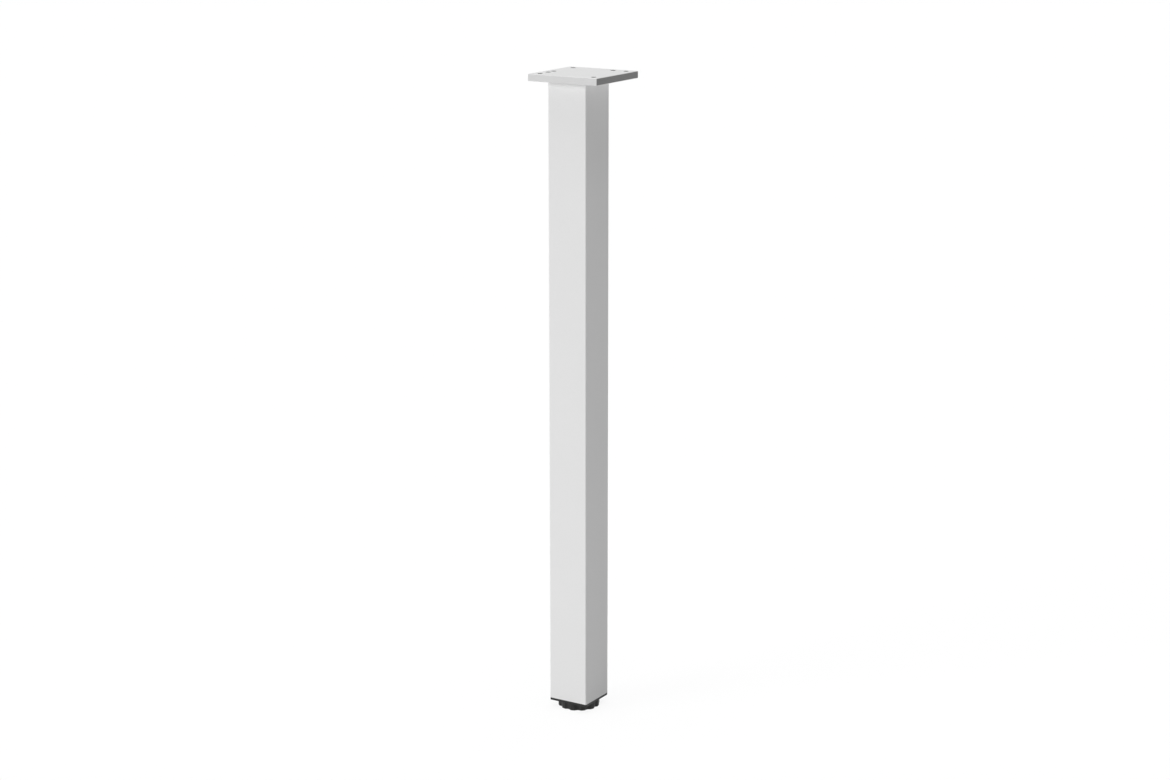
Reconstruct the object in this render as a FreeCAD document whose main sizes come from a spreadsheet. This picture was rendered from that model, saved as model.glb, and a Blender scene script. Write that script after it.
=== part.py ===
"""Square steel table leg with an offset mounting plate and a screw-in levelling foot.

The origin is on the tube's axis, in the plane of the floor. +Z runs up the leg, and +Y is
the side where the mounting plate reaches furthest out.
"""

import FreeCAD
import Part
import Sketcher
import math
import os

# Driving dimensions in millimetres and degrees: name, value, meaning
SIZES = (
    ("tube_width", 50, "outside width of the square tube"),
    ("tube_wall", 1.5, "wall of the tube"),
    ("tube_corner", 1.5, "outside corner radius of the tube"),
    ("tube_inner_corner", 0.4, "inside corner radius of the tube"),
    ("tube_length", 729, "length of the tube"),
    ("plate_width", 90, "side of the square mounting plate"),
    ("plate_thick", 8, "thickness of the mounting plate"),
    ("plate_corner", 0.8, "corner radius of the mounting plate"),
    ("plate_break", 0.4, "bevel along the plate's edges"),
    ("plate_shift", 10, "offset of the plate's centre from the tube's axis"),
    ("hole_dia", 6, "diameter of the screw holes"),
    ("hole_inset", 10, "distance of the screw holes from the plate's edges"),
    ("side_step", 17, "from a corner hole to the first extra hole on its edge"),
    ("pair_gap", 11.5, "from the first to the second extra hole on the left edge"),
    ("weld_leg", 1.5, "leg length of the fillet weld"),
    ("weld_land", 0.2, "flat left at the toes of the weld"),
    ("flange_thick", 3, "thickness of the end cap's flange"),
    ("flange_inset", 0.1, "step from the tube's face in to the flange's edge"),
    ("flange_break", 0.4, "rounding along the flange's lower edge"),
    ("plug_depth", 24, "height of the end cap's plug above its flange"),
    ("plug_wall", 2, "wall of the plug"),
    ("plug_clear", 0.6, "gap between the plug's wall and the tube, bridged by the fins"),
    ("plug_corner", 1.5, "corner radius of the plug"),
    ("fin_thick", 1.2, "thickness of a gripping fin"),
    ("fin_margin", 3, "plain wall below the first fin and above the last"),
    ("fin_count", 4, "number of gripping fins"),
    ("boss_wall", 2.2, "plastic around the corners of the nut"),
    ("boss_roof", 4, "plastic above the nut"),
    ("web_thick", 2, "thickness of the webs between boss and plug"),
    ("nut_flats", 17, "width across the flats of the nut"),
    ("nut_height", 8, "height of the nut"),
    ("nut_corner_cut", 1.7, "how far in from its corners the nut is bevelled"),
    ("nut_clear", 0.05, "gap around the nut in its pocket"),
    ("stud_dia", 10, "outside diameter of the stud's thread"),
    ("stud_reach", 30, "length of the stud above the knob"),
    ("stud_tip", 1.2, "bevel at the stud's tip"),
    ("stud_clear", 0.1, "radial gap between the stud and its nut"),
    ("cap_clear", 0.4, "radial gap between the stud and the end cap"),
    ("head_dia", 18, "diameter of the stud's head"),
    ("head_thick", 3, "thickness of the stud's head"),
    ("head_cover", 2.5, "plastic above the stud's head"),
    ("seat_clear", 0.1, "gap around the stud in the knob"),
    ("knob_dia", 49, "diameter of the knob over its lobes"),
    ("knob_height", 8, "height of the knob"),
    ("knob_gap", 0.3, "gap between the knob and the end cap when screwed home"),
    ("knob_bevel", 0.9, "bevel along the knob's lower edge"),
    ("lobe_count", 12, "number of finger grooves in the knob"),
    ("lobe_round", 1.6, "rounding between lobe and groove"),
    ("groove_radius", 5, "radius of a finger groove"),
    ("groove_depth", 1.9, "depth of a finger groove"),
    ("groove_turn", -2, "angle of the first finger groove from +X"),
)

# Heights above the floor, and widths that several pieces share
FLANGE_LEVEL = "Sizes.knob_height + Sizes.knob_gap"
TUBE_LEVEL = FLANGE_LEVEL + " + Sizes.flange_thick"
PLATE_LEVEL = TUBE_LEVEL + " + Sizes.tube_length"
HEAD_LEVEL = "(Sizes.knob_height - Sizes.head_cover - Sizes.head_thick)"
TUBE_INSIDE = "(Sizes.tube_width - 2 * Sizes.tube_wall)"
PLUG_SIDE = "(" + TUBE_INSIDE + " - 2 * Sizes.plug_clear)"
NUT_CORNER = "(Sizes.nut_flats / sqrt(3))"
BOSS_HEIGHT = "(Sizes.nut_height + Sizes.boss_roof)"


def make_sheet(document):
    """Spreadsheet with one named cell for each driving dimension."""
    sheet = document.addObject("Spreadsheet::Sheet", "Sizes")
    for row, (alias, value, meaning) in enumerate(SIZES, start=1):
        sheet.set(f"A{row}", meaning)
        sheet.set(f"B{row}", str(value))
        sheet.setAlias(f"B{row}", alias)
    document.recompute()
    return sheet


def make_body(document, name, level):
    """Body whose own origin stands at a height above the floor."""
    body = document.addObject("PartDesign::Body", name)
    body.Label = name
    body.setExpression(".Placement.Base.z", level)
    return body


def origin_item(body, role):
    """Plane or axis of the body's own origin."""
    return next(item for item in body.Origin.OriginFeatures if item.Role == role)


def make_sketch(body, name, role="XY_Plane", height="0"):
    """Sketch attached to one of the body's origin planes and raised by a height."""
    sketch = body.newObject("Sketcher::SketchObject", name)
    sketch.AttachmentSupport = [(origin_item(body, role), "")]
    sketch.MapMode = "FlatFace"
    sketch.setExpression(".AttachmentOffset.Base.z", height)
    return sketch


def amount(item, expression):
    """Present value of an expression in the sheet's names."""
    return float(item.evalExpression(expression))


def bind(sketch, expression, kind, *places):
    """Dimension in a sketch that follows an expression."""
    index = sketch.addConstraint(Sketcher.Constraint(kind, *places, amount(sketch, expression)))
    sketch.setExpression(f"Constraints[{index}]", expression)


def pin_point(sketch, curve, end, across, along):
    """Ties one point of a curve to its two coordinates in the sketch."""
    for kind, axis, expression in (("DistanceX", -2, across), ("DistanceY", -1, along)):
        if expression == "0":
            sketch.addConstraint(Sketcher.Constraint("PointOnObject", curve, end, axis))
        else:
            bind(sketch, expression, kind, -1, 1, curve, end)


def draw_outline(sketch, points):
    """Closed outline of straight lines whose corners are pairs of expressions."""
    first = sketch.GeometryCount
    corners = [FreeCAD.Vector(amount(sketch, across), amount(sketch, along)) for across, along in points]
    count = len(corners)
    for index in range(count):
        sketch.addGeometry(Part.LineSegment(corners[index], corners[(index + 1) % count]))
    for index, (across, along) in enumerate(points):
        after = first + (index + 1) % count
        sketch.addConstraint(Sketcher.Constraint("Coincident", first + index, 2, after, 1))
        pin_point(sketch, first + index, 1, across, along)


def draw_rounded_square(sketch, side, corner):
    """Square with rounded corners, centred on the sketch's origin."""
    half = amount(sketch, side) / 2
    radius = amount(sketch, corner)
    first = sketch.GeometryCount
    upright = FreeCAD.Vector(0, 0, 1)
    for quarter in range(4):
        turn = FreeCAD.Rotation(upright, 90 * quarter)
        start = turn.multVec(FreeCAD.Vector(radius - half, -half))
        finish = turn.multVec(FreeCAD.Vector(half - radius, -half))
        centre = turn.multVec(FreeCAD.Vector(half - radius, radius - half))
        angle = math.pi / 2 * (quarter - 1)
        circle = Part.Circle(centre, upright, radius)
        sketch.addGeometry(Part.LineSegment(start, finish))
        sketch.addGeometry(Part.ArcOfCircle(circle, angle, angle + math.pi / 2))
    for index in range(8):
        after = first + (index + 1) % 8
        sketch.addConstraint(Sketcher.Constraint("Tangent", first + index, 2, after, 1))
    for index, direction in enumerate(("Horizontal", "Vertical", "Horizontal", "Vertical")):
        sketch.addConstraint(Sketcher.Constraint(direction, first + 2 * index))
    for index in (3, 5, 7):
        sketch.addConstraint(Sketcher.Constraint("Equal", first + 1, first + index))
    sketch.addConstraint(Sketcher.Constraint("Symmetric", first + 3, 3, first + 7, 3, -1, 1))
    bind(sketch, corner, "Radius", first + 1)
    bind(sketch, side, "DistanceX", first + 6, 1, first + 2, 1)
    bind(sketch, side, "DistanceY", first, 1, first + 4, 1)


def draw_circle(sketch, diameter, across="0", along="0"):
    """Circle tied to its diameter and to the place of its centre."""
    centre = FreeCAD.Vector(amount(sketch, across), amount(sketch, along))
    radius = amount(sketch, diameter) / 2
    curve = sketch.addGeometry(Part.Circle(centre, FreeCAD.Vector(0, 0, 1), radius))
    pin_point(sketch, curve, 3, across, along)
    bind(sketch, diameter, "Diameter", curve)


def draw_hexagon(sketch, flats):
    """Regular hexagon with two corners on the sketch's horizontal axis."""
    apothem = f"({flats}) / 2"
    corner = f"({flats}) / sqrt(3)"
    right = [(f"{corner} / 2", f"-{apothem}"), (corner, "0"), (f"{corner} / 2", apothem)]
    left = [(f"-{corner} / 2", apothem), (f"-{corner}", "0"), (f"-{corner} / 2", f"-{apothem}")]
    draw_outline(sketch, right + left)


def grow(body, sketch, length):
    """Pads a sketch upwards."""
    pad = body.newObject("PartDesign::Pad", sketch.Name + "Pad")
    pad.Profile = sketch
    pad.setExpression("Length", length)
    sketch.Visibility = False
    body.Document.recompute()
    return pad


def cut_upwards(body, sketch, length=None):
    """Pockets a sketch upwards, right through where no length is given."""
    before = body.Shape.Volume
    pocket = body.newObject("PartDesign::Pocket", sketch.Name + "Pocket")
    pocket.Profile = sketch
    pocket.Reversed = True
    if length is None:
        pocket.Type = "ThroughAll"
    else:
        pocket.setExpression("Length", length)
    body.Document.recompute()
    require_less(body, before)
    return pocket


def cut_round(body, sketch):
    """Cuts a profile all the way round the body's upright axis."""
    before = body.Shape.Volume
    groove = body.newObject("PartDesign::Groove", sketch.Name + "Groove")
    groove.Profile = sketch
    groove.ReferenceAxis = (sketch, ["V_Axis"])
    groove.Angle = 360
    body.Document.recompute()
    require_less(body, before)
    return groove


def require_less(body, before):
    """Stops the build if a cut took nothing away."""
    if body.Shape.Volume >= before:
        raise RuntimeError(f"a cut in {body.Label} removed nothing")


def repeat_round(body, feature, count, angle):
    """Copies a feature about the body's upright axis."""
    pattern = body.newObject("PartDesign::PolarPattern", feature.Name + "Ring")
    pattern.Originals = [feature]
    pattern.Axis = (origin_item(body, "Z_Axis"), [""])
    pattern.Angle = angle
    pattern.setExpression("Occurrences", count)
    body.Tip = pattern
    body.Document.recompute()
    return pattern


def repeat_up(body, feature, count, length):
    """Copies a feature up the body, evenly over a length."""
    pattern = body.newObject("PartDesign::LinearPattern", feature.Name + "Row")
    pattern.Originals = [feature]
    pattern.Direction = (origin_item(body, "Z_Axis"), [""])
    pattern.setExpression("Length", length)
    pattern.setExpression("Occurrences", count)
    body.Tip = pattern
    body.Document.recompute()
    return pattern


def edges_where(shape, wanted):
    """Names of a shape's edges that a test picks out."""
    return [f"Edge{number}" for number, edge in enumerate(shape.Edges, start=1) if wanted(edge)]


def dress(body, kind, wanted, size_name, size):
    """Bevels or rounds the edges of the body that a test picks out."""
    base = body.Tip
    feature = body.newObject("PartDesign::" + kind, f"{body.Name}{kind}{len(body.Group)}")
    feature.Base = (base, edges_where(base.Shape, wanted))
    feature.setExpression(size_name, size)
    body.Tip = feature
    body.Document.recompute()
    return feature


def lies_at(height):
    """Test for edges that lie level at a height."""

    def wanted(edge):
        box = edge.BoundBox
        return abs(box.ZMin - height) < 1e-4 and abs(box.ZMax - height) < 1e-4

    return wanted


def stands_upright(edge):
    """Test for straight edges that run along the upright axis."""
    box = edge.BoundBox
    return box.ZLength > 1e-3 and box.XLength < 1e-4 and box.YLength < 1e-4


def make_plate(document):
    """Mounting plate, with screw holes at its corners and along two edges."""
    body = make_body(document, "mounting_plate", PLATE_LEVEL)
    body.setExpression(".Placement.Base.y", "Sizes.plate_shift")
    outline = make_sketch(body, "PlateOutline")
    draw_rounded_square(outline, "Sizes.plate_width", "Sizes.plate_corner")
    grow(body, outline, "Sizes.plate_thick")
    top = amount(body, "Sizes.plate_thick")
    dress(body, "Chamfer", lambda edge: lies_at(0)(edge) or lies_at(top)(edge), "Size", "Sizes.plate_break")

    # The extra holes lie on the left edge and the far edge, measured from a corner hole
    far = "(Sizes.plate_width / 2 - Sizes.hole_inset)"
    corners = [(f"{x_sign}{far}", f"{y_sign}{far}") for x_sign in ("-", "") for y_sign in ("-", "")]
    first_left = f"Sizes.side_step - {far}"
    extras = [
        (f"-{far}", first_left),
        (f"-{far}", f"{first_left} + Sizes.pair_gap"),
        (f"{far} - Sizes.side_step", far),
    ]
    holes = make_sketch(body, "PlateHoles")
    for across, along in corners + extras:
        draw_circle(holes, "Sizes.hole_dia", across, along)
    cut_upwards(body, holes)
    return body


def make_weld(document):
    """Fillet weld around the tube's upper end, under the plate."""
    body = make_body(document, "weld_bead", PLATE_LEVEL + " - Sizes.weld_leg")
    ring = make_sketch(body, "WeldRing")
    draw_rounded_square(ring, "Sizes.tube_width", "Sizes.tube_corner")
    draw_rounded_square(ring, "Sizes.tube_width + 2 * Sizes.weld_leg", "Sizes.tube_corner + Sizes.weld_leg")
    grow(body, ring, "Sizes.weld_leg")
    inside = amount(body, "Sizes.tube_width / 2 + Sizes.weld_leg / 2")
    lower = lies_at(0)

    def outer_toe(edge):
        box = edge.BoundBox
        reach = max(abs(box.XMin), abs(box.XMax), abs(box.YMin), abs(box.YMax))
        return lower(edge) and reach > inside

    dress(body, "Fillet", outer_toe, "Radius", "Sizes.weld_leg - Sizes.weld_land")
    return body


def make_tube(document):
    """Square tube of the leg."""
    body = make_body(document, "leg_tube", TUBE_LEVEL)
    section = make_sketch(body, "TubeSection")
    draw_rounded_square(section, "Sizes.tube_width", "Sizes.tube_corner")
    draw_rounded_square(section, TUBE_INSIDE, "Sizes.tube_inner_corner")
    grow(body, section, "Sizes.tube_length")
    return body


def make_end_cap(document):
    """Moulded insert in the tube's lower end: flange, finned plug, boss and webs."""
    body = make_body(document, "end_cap", FLANGE_LEVEL)
    flange = make_sketch(body, "FlangeOutline")
    draw_rounded_square(flange, "Sizes.tube_width - 2 * Sizes.flange_inset", "Sizes.tube_corner")
    grow(body, flange, "Sizes.flange_thick")
    dress(body, "Fillet", lies_at(0), "Radius", "Sizes.flange_break")

    plug = make_sketch(body, "PlugWall", height="Sizes.flange_thick")
    draw_rounded_square(plug, PLUG_SIDE, "Sizes.plug_corner")
    draw_rounded_square(plug, PLUG_SIDE + " - 2 * Sizes.plug_wall", "Sizes.plug_corner / 2")
    grow(body, plug, "Sizes.plug_depth")

    boss = make_sketch(body, "BossCircle", height="Sizes.flange_thick")
    draw_circle(boss, f"2 * {NUT_CORNER} + 2 * Sizes.nut_clear + 2 * Sizes.boss_wall")
    grow(body, boss, BOSS_HEIGHT + " - Sizes.flange_thick")

    # A web runs from wall to wall through the boss, and its copy crosses it
    web = make_sketch(body, "WebOutline", height="Sizes.flange_thick")
    reach = f"({PLUG_SIDE} - Sizes.plug_wall) / 2"
    half = "Sizes.web_thick / 2"
    draw_outline(web, [(f"-{reach}", f"-{half}"), (reach, f"-{half}"), (reach, half), (f"-{reach}", half)])
    web_pad = grow(body, web, BOSS_HEIGHT + " - Sizes.flange_thick")
    repeat_round(body, web_pad, "2", 90)

    # The fins bridge the gap to the tube and hold the cap in it
    fin = make_sketch(body, "FinRing", height="Sizes.flange_thick + Sizes.fin_margin")
    draw_rounded_square(fin, TUBE_INSIDE, "Sizes.plug_corner + Sizes.plug_clear")
    draw_rounded_square(fin, PLUG_SIDE + " - Sizes.plug_wall", "Sizes.plug_corner")
    fin_pad = grow(body, fin, "Sizes.fin_thick")
    repeat_up(body, fin_pad, "Sizes.fin_count", "Sizes.plug_depth - 2 * Sizes.fin_margin - Sizes.fin_thick")

    pocket = make_sketch(body, "NutPocket")
    draw_hexagon(pocket, "Sizes.nut_flats + 2 * Sizes.nut_clear")
    cut_upwards(body, pocket, "Sizes.nut_height + Sizes.nut_clear")
    passage = make_sketch(body, "StudPassage")
    draw_circle(passage, "Sizes.stud_dia + 2 * Sizes.cap_clear")
    cut_upwards(body, passage)
    return body


def make_nut(document):
    """Hexagon nut, bevelled at its corners, flush with the flange."""
    body = make_body(document, "cap_nut", FLANGE_LEVEL)
    outline = make_sketch(body, "NutOutline")
    draw_hexagon(outline, "Sizes.nut_flats")
    grow(body, outline, "Sizes.nut_height")
    bore = make_sketch(body, "NutBore")
    draw_circle(bore, "Sizes.stud_dia + 2 * Sizes.stud_clear")
    cut_upwards(body, bore)

    # The bevel falls at 30 degrees from the face to past the corners
    face = f"{NUT_CORNER} - Sizes.nut_corner_cut"
    past = f"{NUT_CORNER} + Sizes.nut_corner_cut"
    drop = "2 * Sizes.nut_corner_cut * tan(30 deg)"
    bevels = make_sketch(body, "NutBevels", "XZ_Plane")
    draw_outline(bevels, [(face, "0"), (past, "0"), (past, drop)])
    top = "Sizes.nut_height"
    draw_outline(bevels, [(face, top), (past, f"{top} - {drop}"), (past, top)])
    cut_round(body, bevels)
    return body


def make_stud(document):
    """Screw of the foot: a round head in the knob and a shank that runs up through the nut."""
    body = make_body(document, "foot_stud", HEAD_LEVEL)
    radius = "Sizes.stud_dia / 2"
    tip = "Sizes.head_thick + Sizes.head_cover + Sizes.stud_reach"
    profile = make_sketch(body, "StudProfile", "XZ_Plane")
    draw_outline(
        profile,
        [
            ("0", "0"),
            ("Sizes.head_dia / 2", "0"),
            ("Sizes.head_dia / 2", "Sizes.head_thick"),
            (radius, "Sizes.head_thick"),
            (radius, f"{tip} - Sizes.stud_tip"),
            (f"{radius} - Sizes.stud_tip", tip),
            ("0", tip),
        ],
    )
    turned = body.newObject("PartDesign::Revolution", "StudTurned")
    turned.Profile = profile
    turned.ReferenceAxis = (profile, ["V_Axis"])
    turned.Angle = 360
    document.recompute()
    return body


def make_knob(document):
    """Scalloped knob of the levelling foot, moulded around the stud's head."""
    body = make_body(document, "foot_knob", "0")
    blank = make_sketch(body, "KnobBlank")
    draw_circle(blank, "Sizes.knob_dia")
    grow(body, blank, "Sizes.knob_height")

    # One finger groove at the rim, then its copies all the way round
    centre = "(Sizes.knob_dia / 2 + Sizes.groove_radius - Sizes.groove_depth)"
    turn = "Sizes.groove_turn * 1 deg"
    groove = make_sketch(body, "FingerGroove")
    draw_circle(groove, "2 * Sizes.groove_radius", f"{centre} * cos({turn})", f"{centre} * sin({turn})")
    repeat_round(body, cut_upwards(body, groove), "Sizes.lobe_count", 360)
    dress(body, "Fillet", stands_upright, "Radius", "Sizes.lobe_round")
    dress(body, "Chamfer", lies_at(0), "Size", "Sizes.knob_bevel")

    # Seat of the stud's head, with the neck open at the top
    head = "Sizes.head_dia / 2 + Sizes.seat_clear"
    neck = "Sizes.stud_dia / 2 + Sizes.seat_clear"
    floor = f"{HEAD_LEVEL} - Sizes.seat_clear"
    roof = "Sizes.knob_height - Sizes.head_cover + Sizes.seat_clear"
    mouth = "Sizes.knob_height + Sizes.knob_gap"
    seat = make_sketch(body, "StudSeat", "XZ_Plane")
    corners = [("0", floor), (head, floor), (head, roof), (neck, roof), (neck, mouth), ("0", mouth)]
    draw_outline(seat, corners)
    cut_round(body, seat)
    return body


def check(document, bodies):
    """Stops before anything is written if a feature failed or a solid is not whole."""
    for item in document.Objects:
        if "Invalid" in item.State or "Error" in item.State:
            raise RuntimeError(f"{item.Label} failed: {item.State}")
    for body in bodies:
        shape = body.Shape
        if shape.isNull() or not shape.isValid() or len(shape.Solids) != 1:
            raise RuntimeError(f"{body.Label} is not one valid solid")


def main():
    document = FreeCAD.newDocument("table_leg")
    make_sheet(document)
    makers = (make_plate, make_weld, make_tube, make_end_cap, make_nut, make_stud, make_knob)
    bodies = [maker(document) for maker in makers]
    document.recompute()
    check(document, bodies)
    os.makedirs("parts", exist_ok=True)
    for body in bodies:
        body.Shape.exportStep(f"parts/{body.Label}.step")
        box = body.Shape.BoundBox
        print(body.Label, "volume", round(body.Shape.Volume, 1), "z", round(box.ZMin, 2), round(box.ZMax, 2))


main()
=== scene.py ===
"""Dresses a square steel table leg: coated steel, rippled weld, threaded stud and moulded foot."""

import math
import random

import bpy
from bpy.props import FloatProperty, FloatVectorProperty, IntProperty, PointerProperty
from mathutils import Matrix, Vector


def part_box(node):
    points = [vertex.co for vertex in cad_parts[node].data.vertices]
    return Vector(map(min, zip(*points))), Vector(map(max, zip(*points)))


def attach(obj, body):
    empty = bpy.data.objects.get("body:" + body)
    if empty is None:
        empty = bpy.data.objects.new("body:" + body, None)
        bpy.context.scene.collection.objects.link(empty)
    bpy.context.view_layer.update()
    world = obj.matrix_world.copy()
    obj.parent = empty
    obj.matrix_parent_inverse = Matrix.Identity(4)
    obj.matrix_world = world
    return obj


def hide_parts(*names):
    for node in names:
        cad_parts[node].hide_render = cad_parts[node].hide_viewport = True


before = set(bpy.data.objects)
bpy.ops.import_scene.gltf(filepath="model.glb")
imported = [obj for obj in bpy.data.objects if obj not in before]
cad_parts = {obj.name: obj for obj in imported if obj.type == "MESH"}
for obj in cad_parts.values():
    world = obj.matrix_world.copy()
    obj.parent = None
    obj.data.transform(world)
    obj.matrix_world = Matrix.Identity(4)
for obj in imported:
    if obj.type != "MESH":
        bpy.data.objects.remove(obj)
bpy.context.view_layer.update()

bl_info = {
    "name": "Table Leg",
    "version": (1, 0, 0),
    "blender": (4, 5, 0),
    "location": "3D View > Sidebar > Table Leg",
    "description": "Finishes and fine detail of a square steel table leg with a levelling foot",
    "category": "Object",
}

MM = 0.001
WHITE = (1.0, 1.0, 1.0, 1.0)

# Weld: steps across the bead, along one side of the tube and round one of its corners
BEAD_STEPS, SIDE_STEPS, CORNER_STEPS = 8, 160, 8
RIPPLE_SPREAD = 0.25  # how far a ripple's length may be from the usual one, as a share
CROWN_POWER = 0.6  # below 1, a ripple is full for most of its length
ROUNDING_ERROR = 1e-9

# Stud: steps round it, height of one step along it and bevel of its head
STUD_STEPS = 72
THREAD_STEP = 0.1 * MM
HEAD_BEVEL = 0.4 * MM
THREAD_CREASE = math.radians(50)
FLANK_SLOPE, CREST_FLAT = 2.5, 0.15  # of the thread's section, over one pitch

# Knob: steps along a lobe, a bend beside a groove, a groove and a rounded rim
LOBE_STEPS, BEND_STEPS, GROOVE_STEPS, RIM_STEPS = 4, 8, 16, 6
SEAT_GAP = 0.1 * MM
MOUTH_BEVEL = 0.4 * MM

FLOOR_REACH = 30.0
TOP_FROM = (0.0, 0.0, 1.0)
BACK_FROM = (0.0, 0.95, 0.3)
SENSOR_WIDTH = 36.0


def colour_setting(name, description, grey):
    """Setting for a neutral colour."""
    return FloatVectorProperty(
        name=name, description=description, subtype="COLOR", default=(grey, grey, grey)
    )


def length_setting(name, description, millimetres):
    """Setting for a length, kept in metres."""
    return FloatProperty(
        name=name,
        description=description,
        subtype="DISTANCE",
        unit="LENGTH",
        precision=5,
        default=millimetres * MM,
    )


def share_setting(name, description, share):
    """Setting for a share between 0 and 1."""
    return FloatProperty(
        name=name, description=description, subtype="FACTOR", min=0.0, max=1.0, default=share
    )


def level_setting(name, description, level):
    """Setting for a light, where a level of 1 turns a white surface that faces it white."""
    return FloatProperty(name=name, description=description, default=level)


class CoatLook(bpy.types.PropertyGroup):
    """Colours and texture of the coated steel."""

    tube: colour_setting("Tube", "Powder coat of the tube", 0.74)
    plate: colour_setting("Plate", "Coat on the plate's rolled faces", 0.695)
    # Painted shade: the rim and cut-edge colours are darker than the plate's, partly for the finish
    # of the edges and partly to paint the shade on the plate's sides
    rim: colour_setting("Rim", "Coat on the plate's milled front and back edges", 0.638)
    cut: colour_setting("Cut edge", "Steel of the plate's sheared left and right edges", 0.29)
    # Painted shade: the screw hole colour is near black, to paint the shade inside the holes over
    # their steel
    bore_shade: colour_setting("Screw hole", "Steel inside the drilled holes", 0.03)
    peel_size: length_setting("Peel size", "Width of the coat's ripples", 1.5)
    peel_height: length_setting("Peel height", "Height of the coat's ripples", 0.012)
    grit_size: length_setting("Grit size", "Width of the powder's grains", 0.3)
    grit_height: length_setting("Grit height", "Height of the powder's grains", 0.006)
    roughness: share_setting("Roughness", "Roughness of the coat", 0.88)
    gloss: share_setting("Gloss", "Strength of the coat's reflection", 0.12)


class WeldLook(bpy.types.PropertyGroup):
    """Shape of the weld bead."""

    ripple: length_setting("Ripple", "Length of one weld ripple", 1.7)
    corner: length_setting("Corner", "Corner radius of the tube that the bead follows", 1.5)
    crease: share_setting("Crease", "Depth of the creases as a share of the bead", 0.18)
    lean: share_setting("Lean", "Lead of a ripple's crown on its toes, in ripple lengths", 0.5)
    seed: IntProperty(name="Seed", description="Start of the random ripple lengths", default=4)


class ThreadLook(bpy.types.PropertyGroup):
    """Thread of the foot's stud."""

    zinc: colour_setting("Zinc", "Zinc plating of the stud and the nut", 0.48)
    diameter: length_setting("Diameter", "Outside diameter of the thread", 10.0)
    pitch: length_setting("Pitch", "Rise of the thread in one turn", 1.5)
    depth: length_setting("Depth", "Depth of the thread", 0.9)
    head: length_setting("Head", "Thickness of the stud's head", 3.0)
    tip: length_setting("Tip", "Bevel at the stud's tip", 1.2)


class KnobLook(bpy.types.PropertyGroup):
    """Moulded foot."""

    plastic: colour_setting("Plastic", "Black moulded plastic", 0.013)
    grain: length_setting("Grain", "Width of the moulded grain", 0.35)
    diameter: length_setting("Diameter", "Diameter of the knob over its lobes", 49.0)
    lobes: IntProperty(name="Lobes", description="Number of finger grooves", default=12)
    groove_radius: length_setting("Groove radius", "Radius of a finger groove", 5.0)
    groove_depth: length_setting("Groove depth", "Depth of a finger groove", 1.9)
    groove_turn: FloatProperty(
        name="Groove turn",
        description="Angle of the first groove",
        subtype="ANGLE",
        default=math.radians(-2),
    )
    lobe_round: length_setting("Lobe rounding", "Rounding beside a groove", 1.6)
    rim_round: length_setting("Rim rounding", "Rounding of the upper and lower rim", 1.1)
    hollow: length_setting("Hollow", "Radius of the hollow in the sole", 17.0)
    hollow_depth: length_setting("Hollow depth", "Depth of the hollow in the sole", 0.7)


class StageLook(bpy.types.PropertyGroup):
    """Floor, light and camera."""

    floor: colour_setting("Floor", "Colour of the floor", 0.85)
    floor_clear: share_setting("Clearness", "Share of the floor that can be seen through", 0.9)
    sky: level_setting("Sky", "Level of the light from all around", 0.15)
    top: level_setting("Top light", "Level of the light from straight above", 0.7)
    back: level_setting("Back light", "Level of the light from behind", 0.12)
    key: level_setting("Key light", "Level of the light from the front", 0.58)
    key_from: FloatVectorProperty(
        name="Key from",
        description="Direction of the key light",
        subtype="DIRECTION",
        default=(-0.526, -0.81, 0.259),
    )
    soft: FloatProperty(
        name="Softness",
        description="Width of each light",
        subtype="ANGLE",
        default=math.radians(30),
    )
    camera: FloatVectorProperty(
        name="Camera",
        description="Place of the camera",
        subtype="TRANSLATION",
        default=(1.4276, -2.3165, 1.0503),
    )
    view: FloatVectorProperty(
        name="View",
        description="Direction of view",
        subtype="DIRECTION",
        default=(-0.5074, 0.8282, -0.2378),
    )
    lens: FloatProperty(name="Lens", description="Focal length", unit="CAMERA", default=74.8)


class Value:
    """A shader socket that takes part in Python sums by adding Math nodes."""

    def __init__(self, recipe, socket):
        self.recipe = recipe
        self.socket = socket

    def __add__(self, other):
        return self.recipe.math("ADD", self, other)

    def __radd__(self, other):
        return self.recipe.math("ADD", other, self)

    def __sub__(self, other):
        return self.recipe.math("SUBTRACT", self, other)

    def __rsub__(self, other):
        return self.recipe.math("SUBTRACT", other, self)

    def __mul__(self, other):
        return self.recipe.math("MULTIPLY", self, other)

    def __rmul__(self, other):
        return self.recipe.math("MULTIPLY", other, self)

    def __abs__(self):
        return self.recipe.math("ABSOLUTE", self, 0.0)


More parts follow.
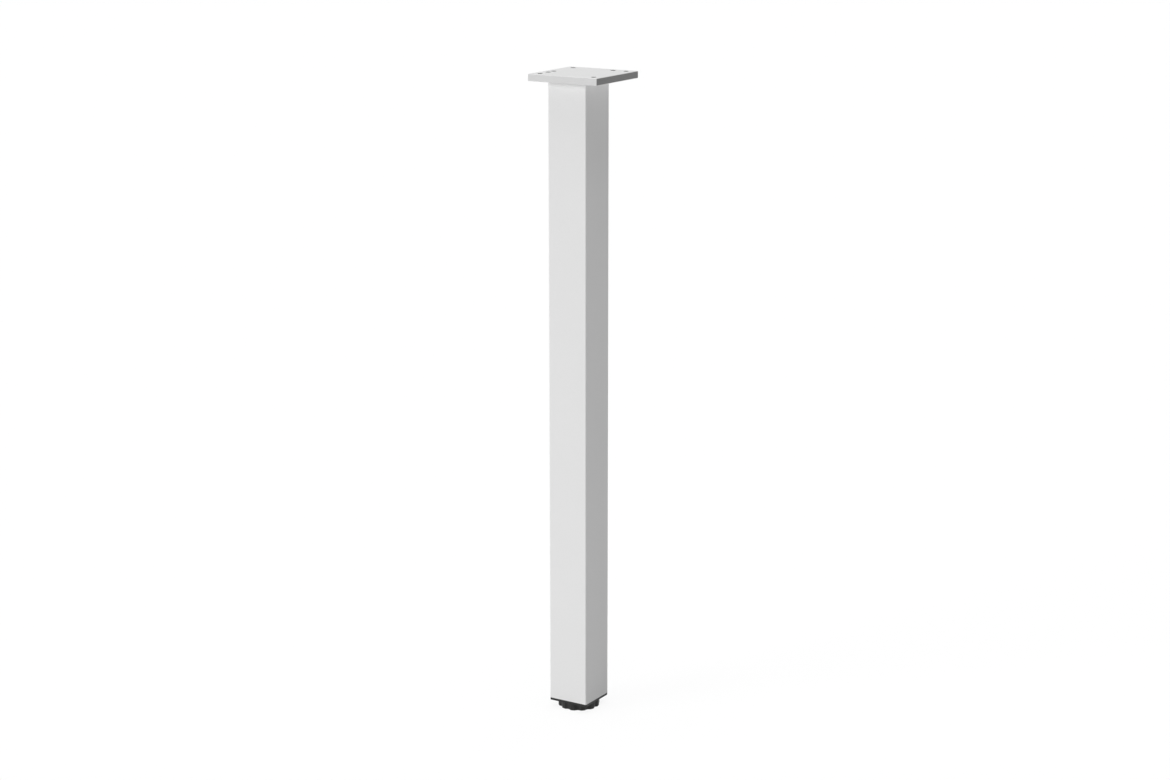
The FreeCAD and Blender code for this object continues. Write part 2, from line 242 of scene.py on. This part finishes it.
class Recipe:
    """Nodes of one material or of the world."""

    def __init__(self, tree):
        self.tree = tree
        tree.nodes.clear()

    def node(self, kind, settings=None, sockets=None):
        """Adds a node, applies its settings and then fills its sockets with values or links."""
        made = self.tree.nodes.new(kind)
        for name, setting in (settings or {}).items():
            setattr(made, name, setting)
        for key, content in (sockets or {}).items():
            socket = made.inputs[key]
            if isinstance(content, Value):
                self.tree.links.new(content.socket, socket)
            elif isinstance(content, bpy.types.NodeSocket):
                self.tree.links.new(content, socket)
            else:
                socket.default_value = content
        return made

    def value(self, kind, settings=None, sockets=None, output=0):
        """Adds a node and returns one of its outputs for sums."""
        return Value(self, self.node(kind, settings, sockets).outputs[output])

    def math(self, operation, first, second):
        """Adds a Math node for two numbers."""
        return self.value("ShaderNodeMath", {"operation": operation}, {0: first, 1: second})

    def vector_math(self, operation, sockets, output=0):
        """Adds a Vector Math node."""
        return self.value("ShaderNodeVectorMath", {"operation": operation}, sockets, output)

    def place(self, stretch=(1.0, 1.0, 1.0)):
        """Place on the piece in metres, with what lies there drawn out along each axis."""
        object_place = self.node("ShaderNodeTexCoord").outputs["Object"]
        return self.vector_math("DIVIDE", {0: object_place, 1: stretch})

    def parts_of(self, vector):
        """Three components of a vector."""
        made = self.node("ShaderNodeSeparateXYZ", None, {0: vector})
        return [Value(self, socket) for socket in made.outputs]

    def step(self, value, low, high):
        """Rises smoothly from 0 to 1 between two values."""
        smooth = {"interpolation_type": "SMOOTHSTEP"}
        return self.value("ShaderNodeMapRange", smooth, {0: value, 1: low, 2: high})

    def greater(self, first, second):
        """The greater of two values."""
        return self.math("MAXIMUM", first, second)

    def lesser(self, first, second):
        """The lesser of two values."""
        return self.math("MINIMUM", first, second)

    def noise(self, place, size, detail=2.0):
        """Soft noise between 0 and 1 with lumps of a size."""
        sockets = {"Vector": place, "Scale": 1 / size, "Detail": detail}
        return self.value("ShaderNodeTexNoise", None, sockets)

    def blend(self, share, first, second):
        """Mixes two colours."""
        sockets = {0: share, 6: first, 7: second}
        return self.value("ShaderNodeMix", {"data_type": "RGBA"}, sockets, 2)

    def vary(self, share, colour, less, more):
        """Colour that runs from one multiple of itself to another."""
        return self.blend(share, times(colour, less), times(colour, more))

    def principled(self, colour, roughness, height, constants):
        """Ends the recipe in a principled surface with a relief whose height is in metres."""
        relief = self.value("ShaderNodeBump", None, {"Distance": 1.0, "Height": height})
        sockets = {"Base Color": colour, "Roughness": roughness, "Normal": relief, **constants}
        surface = self.node("ShaderNodeBsdfPrincipled", None, sockets)
        self.output("ShaderNodeOutputMaterial", surface)

    def mix(self, share, first, second):
        """Mixes two shaders."""
        sockets = {0: share, 1: first.outputs[0], 2: second.outputs[0]}
        return self.node("ShaderNodeMixShader", None, sockets)

    def output(self, kind, shader):
        """Ends the recipe in its output."""
        self.node(kind, None, {"Surface": shader.outputs[0]})


def times(colour, factor):
    """Multiple of a colour, as a socket takes it."""
    return (*[channel * factor for channel in colour], 1.0)


def new_material(name):
    """Material with an empty recipe."""
    material = bpy.data.materials.new(name)
    material.use_nodes = True
    return material, Recipe(material.node_tree)


def coat_relief(recipe, look):
    """Orange peel and grit of a powder coat."""
    place = recipe.place()
    peel = recipe.noise(place, look.peel_size) * look.peel_height
    return peel + recipe.noise(place, look.grit_size, detail=1.0) * look.grit_height


def tube_coat(look):
    """Pale powder coat, thinner and a little brighter along the tube's corners."""
    material, recipe = new_material("tube_coat")
    place = recipe.place()
    across, along, _ = recipe.parts_of(place)
    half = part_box("leg_tube")[1].x
    thins_from, thinnest = half - 1.6 * MM, half - 0.5 * MM
    corner = recipe.step(recipe.lesser(abs(across), abs(along)), thins_from, thinnest)
    drift = recipe.noise(place, size=70 * MM)
    grains = recipe.noise(place, size=0.6 * MM, detail=0.0)
    speck = recipe.step(grains, low=0.3, high=0.75)

    speck_share, speck_grey = 0.5, 0.95
    corner_share, corner_grey = 0.4, 1.06
    colour = recipe.vary(drift, look.tube, less=0.985, more=1.015)
    colour = recipe.blend(speck * speck_share, colour, times(look.tube, speck_grey))
    colour = recipe.blend(corner * corner_share, colour, times(look.tube, corner_grey))

    patch_range, corner_polish = 0.08, 0.06
    smoothest = look.roughness - patch_range / 2
    rough = recipe.noise(place, size=8 * MM) * patch_range + smoothest - corner * corner_polish
    relief = coat_relief(recipe, look)
    recipe.principled(colour, rough, relief, {"Specular IOR Level": look.gloss})
    return material


def plate_coat(look):
    """Coat on plate steel: rolled faces, edges left by milling and by shearing, and drilled holes;
    the edges are darker partly for their finish and partly as painted shade, and the holes are
    darkened with painted shade.
    """
    material, recipe = new_material("plate_coat")
    low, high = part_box("mounting_plate")
    middle, reach = (low + high) / 2, (high - low) / 2
    place = recipe.place()
    across, along, _ = recipe.parts_of(place)
    _, _, face_up = recipe.parts_of(recipe.node("ShaderNodeTexCoord").outputs["Normal"])
    upright = 1 - recipe.step(abs(face_up), low=0.3, high=0.6)
    edge_from, edge_to = 0.6 * MM, 0.2 * MM
    side = recipe.step(abs(across - middle.x), reach.x - edge_from, reach.x - edge_to)
    front = recipe.step(abs(along - middle.y), reach.y - edge_from, reach.y - edge_to)
    sheared_and_shaded = upright * side
    milled_and_shaded = upright * front * (1 - side)
    drilled = upright * (1 - recipe.greater(side, front))

    # Rolling marks run along X on the faces, shearing marks run down the left and right edges
    rolled = recipe.noise(recipe.place(stretch=(14.0, 1.0, 1.0)), size=0.8 * MM)
    torn = recipe.noise(recipe.place(stretch=(1.0, 1.0, 18.0)), size=0.45 * MM, detail=3.0)
    colour = recipe.vary(rolled, look.plate, less=0.97, more=1.03)
    # The edges take darker colours, partly for their finish and partly as painted shade
    colour = recipe.blend(milled_and_shaded, colour, recipe.vary(rolled, look.rim, less=0.96, more=1.04))
    colour = recipe.blend(sheared_and_shaded, colour, recipe.vary(torn, look.cut, less=0.8, more=1.2))
    # Painted shade: the walls of the holes take the near-black screw hole colour
    colour = recipe.blend(drilled, colour, recipe.vary(torn, look.bore_shade, less=0.8, more=1.2))

    patch_range, torn_range, smoothest = 0.08, 0.12, look.roughness - 0.06
    patches = recipe.noise(place, size=6 * MM)
    rough = patches * patch_range + smoothest + sheared_and_shaded * torn * torn_range
    torn_height, rolled_height = 0.035 * MM, 0.006 * MM
    cut_marks = torn * (sheared_and_shaded + drilled) * torn_height
    relief = coat_relief(recipe, look) * (1 - sheared_and_shaded) + cut_marks + rolled * rolled_height
    recipe.principled(colour, rough, relief, {"Specular IOR Level": look.gloss})
    return material


def black_plastic(look):
    """Black moulded plastic with a fine spark-eroded grain."""
    material, recipe = new_material("black_plastic")
    place = recipe.place()
    grain = recipe.noise(place, look.grain, detail=1.0)
    colour = recipe.vary(recipe.noise(place, size=9 * MM), look.plastic, less=0.8, more=1.2)
    grain_range, smoothest, grain_height, gloss = 0.12, 0.4, 0.02 * MM, 0.3
    rough = grain * grain_range + smoothest
    recipe.principled(colour, rough, grain * grain_height, {"Specular IOR Level": gloss})
    return material


def zinc_plating(look):
    """Zinc plated steel with faint clouds, darkened in the roots of the thread partly by an oily
    film and partly by painted shade.
    """
    material, recipe = new_material("zinc_plating")
    place = recipe.place()
    cloud = recipe.noise(place, size=2.5 * MM, detail=3.0)
    fine = recipe.noise(place, size=0.15 * MM, detail=1.0)
    from_axis = recipe.vector_math("MULTIPLY", {0: place, 1: (1.0, 1.0, 0.0)})
    radius = recipe.vector_math("LENGTH", {0: from_axis}, "Value")
    crest = look.diameter / 2
    # The roots of the thread are darkened partly for an oily film and partly as painted shade
    oil_and_shade_share, oil_and_shade_grey, dry_part = 0.8, 0.25, 0.2
    oil_and_shade = 1 - recipe.step(radius, crest - look.depth, crest - dry_part * look.depth)
    plated = recipe.vary(cloud, look.zinc, less=0.9, more=1.1)
    colour = recipe.blend(oil_and_shade * oil_and_shade_share, plated, times(look.zinc, oil_and_shade_grey))
    cloud_range, oil_range, smoothest, fine_height = 0.14, 0.15, 0.24, 0.004 * MM
    rough = cloud * cloud_range + smoothest + oil_and_shade * oil_range
    recipe.principled(colour, rough, fine * fine_height, {"Metallic": 1.0})
    return material


def dress(piece, material):
    """Gives a piece one material all over."""
    piece.data.materials.clear()
    piece.data.materials.append(material)


def add_piece(name, points, faces, material, crease=math.radians(40)):
    """New piece from points and faces, smooth up to an angle between its faces."""
    mesh = bpy.data.meshes.new(name)
    mesh.from_pydata(points, [], faces)
    mesh.validate()
    mesh.shade_smooth()
    mesh.set_sharp_from_angle(angle=crease)
    piece = bpy.data.objects.new(name, mesh)
    bpy.context.scene.collection.objects.link(piece)
    dress(piece, material)
    return piece


def stand_for(piece, node, body):
    """Puts a piece in the place of a solid."""
    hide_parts(node)
    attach(piece, body)


def at_angle(radius, angle, height):
    """Point at a radius and angle about the leg's axis."""
    return (radius * math.cos(angle), radius * math.sin(angle), height)


def turned_faces(rows, columns):
    """Faces of a closed turned form: quads from row to row, with a cap at each end."""
    faces = []
    for low in range(0, (rows - 1) * columns, columns):
        for column in range(columns):
            after = (column + 1) % columns
            faces.append((low + column, low + after, low + columns + after, low + columns + column))
    last = (rows - 1) * columns
    return faces + [tuple(reversed(range(columns))), tuple(range(last, last + columns))]


def between(start, finish, steps):
    """Even steps from a start up to a finish, without the finish."""
    return [start + (finish - start) * step / steps for step in range(steps)]


class TABLELEG_OT_coat_steel(bpy.types.Operator):
    """Coats the tube and the mounting plate"""

    bl_idname = "table_leg.coat_steel"
    bl_label = "Coat steel"

    def execute(self, context):
        look = context.scene.leg_coat
        dress(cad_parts["leg_tube"], tube_coat(look))
        dress(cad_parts["mounting_plate"], plate_coat(look))
        return {"FINISHED"}


class TABLELEG_OT_lay_weld(bpy.types.Operator):
    """Lays the rippled weld bead between tube and plate"""

    bl_idname = "table_leg.lay_weld"
    bl_label = "Lay weld"

    def execute(self, context):
        look = context.scene.leg_weld
        bead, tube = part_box("weld_bead")[1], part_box("leg_tube")[1]
        leg = bead.x - tube.x
        path, length = self.tube_outline(tube.x, look.corner)
        marks = self.ripple_marks(length, look)
        points = []
        for x, y, angle, along in path:
            points.append((x, y, bead.z))
            for step in range(BEAD_STEPS + 1):
                lead = look.lean * look.ripple * (1 - (2 * step / BEAD_STEPS - 1) ** 2)
                reach = leg * self.fullness(marks, (along - lead) % length, look.crease)
                swing = math.pi / 2 * step / BEAD_STEPS
                out, down = reach * math.sin(swing), reach * math.cos(swing)
                points.append(
                    (x + out * math.cos(angle), y + out * math.sin(angle), bead.z - down)
                )
        section = BEAD_STEPS + 2
        faces = []
        for column in range(len(path)):
            here, there = column * section, (column + 1) % len(path) * section
            for index in range(section):
                after = (index + 1) % section
                faces.append((here + after, here + index, there + index, there + after))
        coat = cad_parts["leg_tube"].data.materials[0]
        weld = add_piece("weld_ripples", points, faces, coat)
        stand_for(weld, "weld_bead", "leg")
        return {"FINISHED"}

    @staticmethod
    def tube_outline(half, corner):
        """Points round the tube with their outward angle and distance along it, and its length."""
        path = []
        done = 0.0
        straight = half - corner
        for quarter in range(4):
            angle = math.pi / 2 * quarter
            out = Vector((math.cos(angle), math.sin(angle)))
            on = Vector((-math.sin(angle), math.cos(angle)))
            for slide in between(-straight, straight, SIDE_STEPS):
                path.append((*(out * half + on * slide), angle, done + slide + straight))
            done += 2 * straight
            for swing in between(0.0, math.pi / 2, CORNER_STEPS):
                bend = Vector((math.cos(angle + swing), math.sin(angle + swing)))
                place = (out + on) * straight + bend * corner
                path.append((*place, angle + swing, done + swing * corner))
            done += corner * math.pi / 2
        return path, done

    @staticmethod
    def ripple_marks(length, look):
        """Ends of ripples of uneven length that fill the weld."""
        dice = random.Random(look.seed)
        shortest, longest = 1 - RIPPLE_SPREAD, 1 + RIPPLE_SPREAD
        marks = [0.0]
        while marks[-1] < length:
            marks.append(marks[-1] + look.ripple * dice.uniform(shortest, longest))
        return [mark * length / marks[-1] for mark in marks]

    @staticmethod
    def fullness(marks, place, crease):
        """Share of the full bead at a place, least in the creases between ripples."""
        ripples = zip(marks, marks[1:])
        start, end = next(ripple for ripple in ripples if place <= ripple[1] + ROUNDING_ERROR)
        crown = math.sin(math.pi * (place - start) / (end - start))
        return 1 - crease * (1 - max(crown, 0.0) ** CROWN_POWER)


class TABLELEG_OT_cut_thread(bpy.types.Operator):
    """Cuts the thread of the foot's stud, and plates the stud and its nut"""

    bl_idname = "table_leg.cut_thread"
    bl_label = "Cut thread"

    def execute(self, context):
        look = context.scene.leg_thread
        low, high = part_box("foot_stud")
        knob_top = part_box("foot_knob")[1].z
        shoulder = low.z + look.head
        tip = look.diameter / 2 - look.tip
        turns = between(0.0, math.tau, STUD_STEPS)
        head = [
            (high.x - HEAD_BEVEL, low.z),
            (high.x, low.z + HEAD_BEVEL),
            (high.x, shoulder - HEAD_BEVEL),
            (high.x - HEAD_BEVEL, shoulder),
        ]
        points = [at_angle(radius, turn, height) for radius, height in head for turn in turns]
        rises = round((high.z - shoulder) / THREAD_STEP)
        heights = between(shoulder, high.z, rises) + [high.z]
        for height in heights:
            for turn in turns:
                radius = self.thread(look, height, turn, knob_top)
                points.append(at_angle(min(radius, tip + high.z - height), turn, height))
        zinc = zinc_plating(look)
        faces = turned_faces(len(head) + len(heights), STUD_STEPS)
        stud = add_piece("threaded_stud", points, faces, zinc, THREAD_CREASE)
        stand_for(stud, "foot_stud", "stud")
        dress(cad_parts["cap_nut"], zinc)
        return {"FINISHED"}

    @staticmethod
    def thread(look, height, turn, start):
        """Radius of a right-hand thread that deepens over its first turn above a start."""
        phase = (height / look.pitch - turn / math.tau) % 1.0
        flank = min(max(FLANK_SLOPE * abs(phase - 0.5) - CREST_FLAT, 0.0), 1.0)
        run_in = min(max((height - start) / look.pitch, 0.0), 1.0)
        return look.diameter / 2 - look.depth * flank * run_in


class TABLELEG_OT_mould_foot(bpy.types.Operator):
    """Moulds the scalloped knob, and finishes it and the end cap"""

    bl_idname = "table_leg.mould_foot"
    bl_label = "Mould foot"

    def execute(self, context):
        look = context.scene.leg_knob
        plastic = black_plastic(look)
        dress(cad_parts["end_cap"], plastic)
        outline = self.scalloped_outline(look)
        rows = self.rows(look, context.scene.leg_thread)
        points = []
        for scalloped, inset, height in rows:
            for turn, radius in outline:
                points.append(at_angle(radius - inset if scalloped else inset, turn, height))
        faces = turned_faces(len(rows), len(outline))
        knob = add_piece("moulded_knob", points, faces, plastic)
        stand_for(knob, "foot_knob", "knob")
        return {"FINISHED"}

    @staticmethod
    def rows(look, stud):
        """Rows from the sole to the seat inside: scalloped or not, inset or radius, and height."""
        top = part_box("foot_knob")[1].z
        stud_low, stud_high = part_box("foot_stud")
        head = stud_high.x + SEAT_GAP
        neck = stud.diameter / 2 + SEAT_GAP
        seat_floor = stud_low.z - SEAT_GAP
        seat_roof = stud_low.z + stud.head + SEAT_GAP

        # A gate mark stands in the middle of the hollow, whose wall bends at its top and bottom
        gate_tip, gate_base, gate_height, bend = 1.2 * MM, 1.5 * MM, 0.4 * MM, 0.1 * MM
        wall_from, upper_bend, lower_bend = 1.2 * MM, 0.9 * MM, 0.2 * MM
        hollow, depth = look.hollow, look.hollow_depth
        sole = [
            (False, gate_tip, depth - gate_height),
            (False, gate_base, depth),
            (False, hollow - wall_from, depth),
            (False, hollow - upper_bend, depth - bend),
            (False, hollow - lower_bend, bend),
            (False, hollow, 0.0),
        ]
        rim = look.rim_round
        swings = [math.pi / 2 * step / RIM_STEPS for step in range(RIM_STEPS + 1)]
        lower = [
            (True, rim * (1 - math.sin(swing)), rim * (1 - math.cos(swing))) for swing in swings
        ]
        upper = [(True, inset, top - height) for _, inset, height in reversed(lower)]
        inside = [
            (False, neck + MOUTH_BEVEL, top),
            (False, neck, top - MOUTH_BEVEL),
            (False, neck, seat_roof),
            (False, head, seat_roof),
            (False, head, seat_floor),
        ]
        return sole + lower + upper + inside

    @staticmethod
    def scalloped_outline(look):
        """Angle and radius of points round the lobes and the finger grooves."""
        full, dip, ease = look.diameter / 2, look.groove_radius, look.lobe_round
        centre = full + dip - look.groove_depth
        ring = full - ease
        lobe = math.acos((centre**2 + ring**2 - (dip + ease) ** 2) / (2 * centre * ring))
        share = dip / (dip + ease)
        meet_across = ring * math.sin(lobe) * share
        meet_out = centre + (ring * math.cos(lobe) - centre) * share
        meet = math.atan2(meet_across, meet_out)

        def radius(turn):
            """Radius at an angle from the middle of a groove."""
            if turn < meet:
                return centre * math.cos(turn) - math.sqrt(dip**2 - (centre * math.sin(turn)) ** 2)
            if turn < lobe:
                back = lobe - turn
                return ring * math.cos(back) + math.sqrt(ease**2 - (ring * math.sin(back)) ** 2)
            return full

        half = math.pi / look.lobes
        stretches = (
            (-half, -lobe, LOBE_STEPS),
            (-lobe, -meet, BEND_STEPS),
            (-meet, meet, GROOVE_STEPS),
            (meet, lobe, BEND_STEPS),
            (lobe, half, LOBE_STEPS),
        )
        turns = [turn for stretch in stretches for turn in between(*stretch)]
        grooves = [look.groove_turn + 2 * half * number for number in range(look.lobes)]
        return [(groove + turn, radius(abs(turn))) for groove in grooves for turn in turns]


class TABLELEG_OT_set_stage(bpy.types.Operator):
    """Sets up the floor, the light and the camera"""

    bl_idname = "table_leg.set_stage"
    bl_label = "Set stage"

    def execute(self, context):
        look = context.scene.leg_stage
        scene = context.scene
        scene.view_settings.view_transform = "Standard"
        self.lay_floor(look)
        self.light_all_round(scene, look)
        self.hang_light(scene, "key_light", look.key, look.key_from, look.soft)
        self.hang_light(scene, "top_light", look.top, TOP_FROM, look.soft)
        self.hang_light(scene, "back_light", look.back, BACK_FROM, look.soft)
        camera = bpy.data.objects.new("camera", bpy.data.cameras.new("camera"))
        camera.data.sensor_width = SENSOR_WIDTH
        camera.data.lens = look.lens
        camera.location = look.camera
        camera.rotation_euler = Vector(look.view).to_track_quat("-Z", "Y").to_euler()
        scene.collection.objects.link(camera)
        scene.camera = camera
        return {"FINISHED"}

    @staticmethod
    def seen(recipe):
        """1 for rays of the camera, of mirrors and of glass, and 0 for rays that carry light."""
        rays = recipe.node("ShaderNodeLightPath").outputs
        names = ("Is Camera Ray", "Is Glossy Ray", "Is Transmission Ray")
        camera, glossy, clear = (Value(recipe, rays[name]) for name in names)
        return recipe.lesser(camera + glossy + clear, 1.0)

    def lay_floor(self, look):
        """Pale floor that keeps the leg's shadow and lets the white and a lowered foot show."""
        material, recipe = new_material("floor")
        pale = recipe.node("ShaderNodeBsdfDiffuse", None, {"Color": (*look.floor, 1.0)})
        white = recipe.node("ShaderNodeBsdfDiffuse", None, {"Color": WHITE})
        clear = recipe.node("ShaderNodeBsdfTransparent")
        under = recipe.node("ShaderNodeNewGeometry").outputs["Backfacing"]
        shown = recipe.mix(look.floor_clear, white, clear)
        upper_side = recipe.mix(self.seen(recipe), pale, shown)
        recipe.output("ShaderNodeOutputMaterial", recipe.mix(under, upper_side, clear))
        signs = ((-1, -1), (1, -1), (1, 1), (-1, 1))
        corners = [(FLOOR_REACH * x, FLOOR_REACH * y, 0.0) for x, y in signs]
        add_piece("floor", corners, [(0, 1, 2, 3)], material)

    def light_all_round(self, scene, look):
        """Even light from everywhere, which is seen as white."""
        world = bpy.data.worlds.new("studio")
        world.use_nodes = True
        scene.world = world
        recipe = Recipe(world.node_tree)
        even = recipe.node("ShaderNodeBackground", None, {"Color": WHITE, "Strength": look.sky})
        white = recipe.node("ShaderNodeBackground", None, {"Color": WHITE, "Strength": 1.0})
        recipe.output("ShaderNodeOutputWorld", recipe.mix(self.seen(recipe), even, white))

    @staticmethod
    def hang_light(scene, name, level, direction, width):
        """Broad distant light."""
        lamp = bpy.data.lights.new(name, "SUN")
        lamp.energy = level * math.pi
        lamp.angle = width
        light = bpy.data.objects.new(name, lamp)
        light.rotation_euler = Vector(direction).to_track_quat("Z", "Y").to_euler()
        scene.collection.objects.link(light)


class TABLELEG_PT_panel(bpy.types.Panel):
    """Steps that dress the leg, each with its settings"""

    bl_label = "Table Leg"
    bl_idname = "TABLELEG_PT_panel"
    bl_space_type = "VIEW_3D"
    bl_region_type = "UI"
    bl_category = "Table Leg"

    def draw(self, context):
        for step, name in zip(STEPS, LOOKS):
            section = self.layout.box()
            section.operator(step.bl_idname)
            for setting in LOOKS[name].__annotations__:
                section.prop(getattr(context.scene, name), setting)


# The steps and their looks stand in the same order
LOOKS = {
    "leg_coat": CoatLook,
    "leg_weld": WeldLook,
    "leg_thread": ThreadLook,
    "leg_knob": KnobLook,
    "leg_stage": StageLook,
}
STEPS = (
    TABLELEG_OT_coat_steel,
    TABLELEG_OT_lay_weld,
    TABLELEG_OT_cut_thread,
    TABLELEG_OT_mould_foot,
    TABLELEG_OT_set_stage,
)


def register():
    """Adds the looks, the steps and the panel to Blender."""
    for name, look in LOOKS.items():
        bpy.utils.register_class(look)
        setattr(bpy.types.Scene, name, PointerProperty(type=look))
    for step in (*STEPS, TABLELEG_PT_panel):
        bpy.utils.register_class(step)


def unregister():
    """Takes them out again."""
    for step in reversed((*STEPS, TABLELEG_PT_panel)):
        bpy.utils.unregister_class(step)
    for name, look in reversed(LOOKS.items()):
        delattr(bpy.types.Scene, name)
        bpy.utils.unregister_class(look)


def main():
    """Dresses the leg."""
    register()
    bpy.ops.table_leg.coat_steel()
    bpy.ops.table_leg.lay_weld()
    bpy.ops.table_leg.cut_thread()
    bpy.ops.table_leg.mould_foot()
    bpy.ops.table_leg.set_stage()


if __name__ == "__main__":
    main()
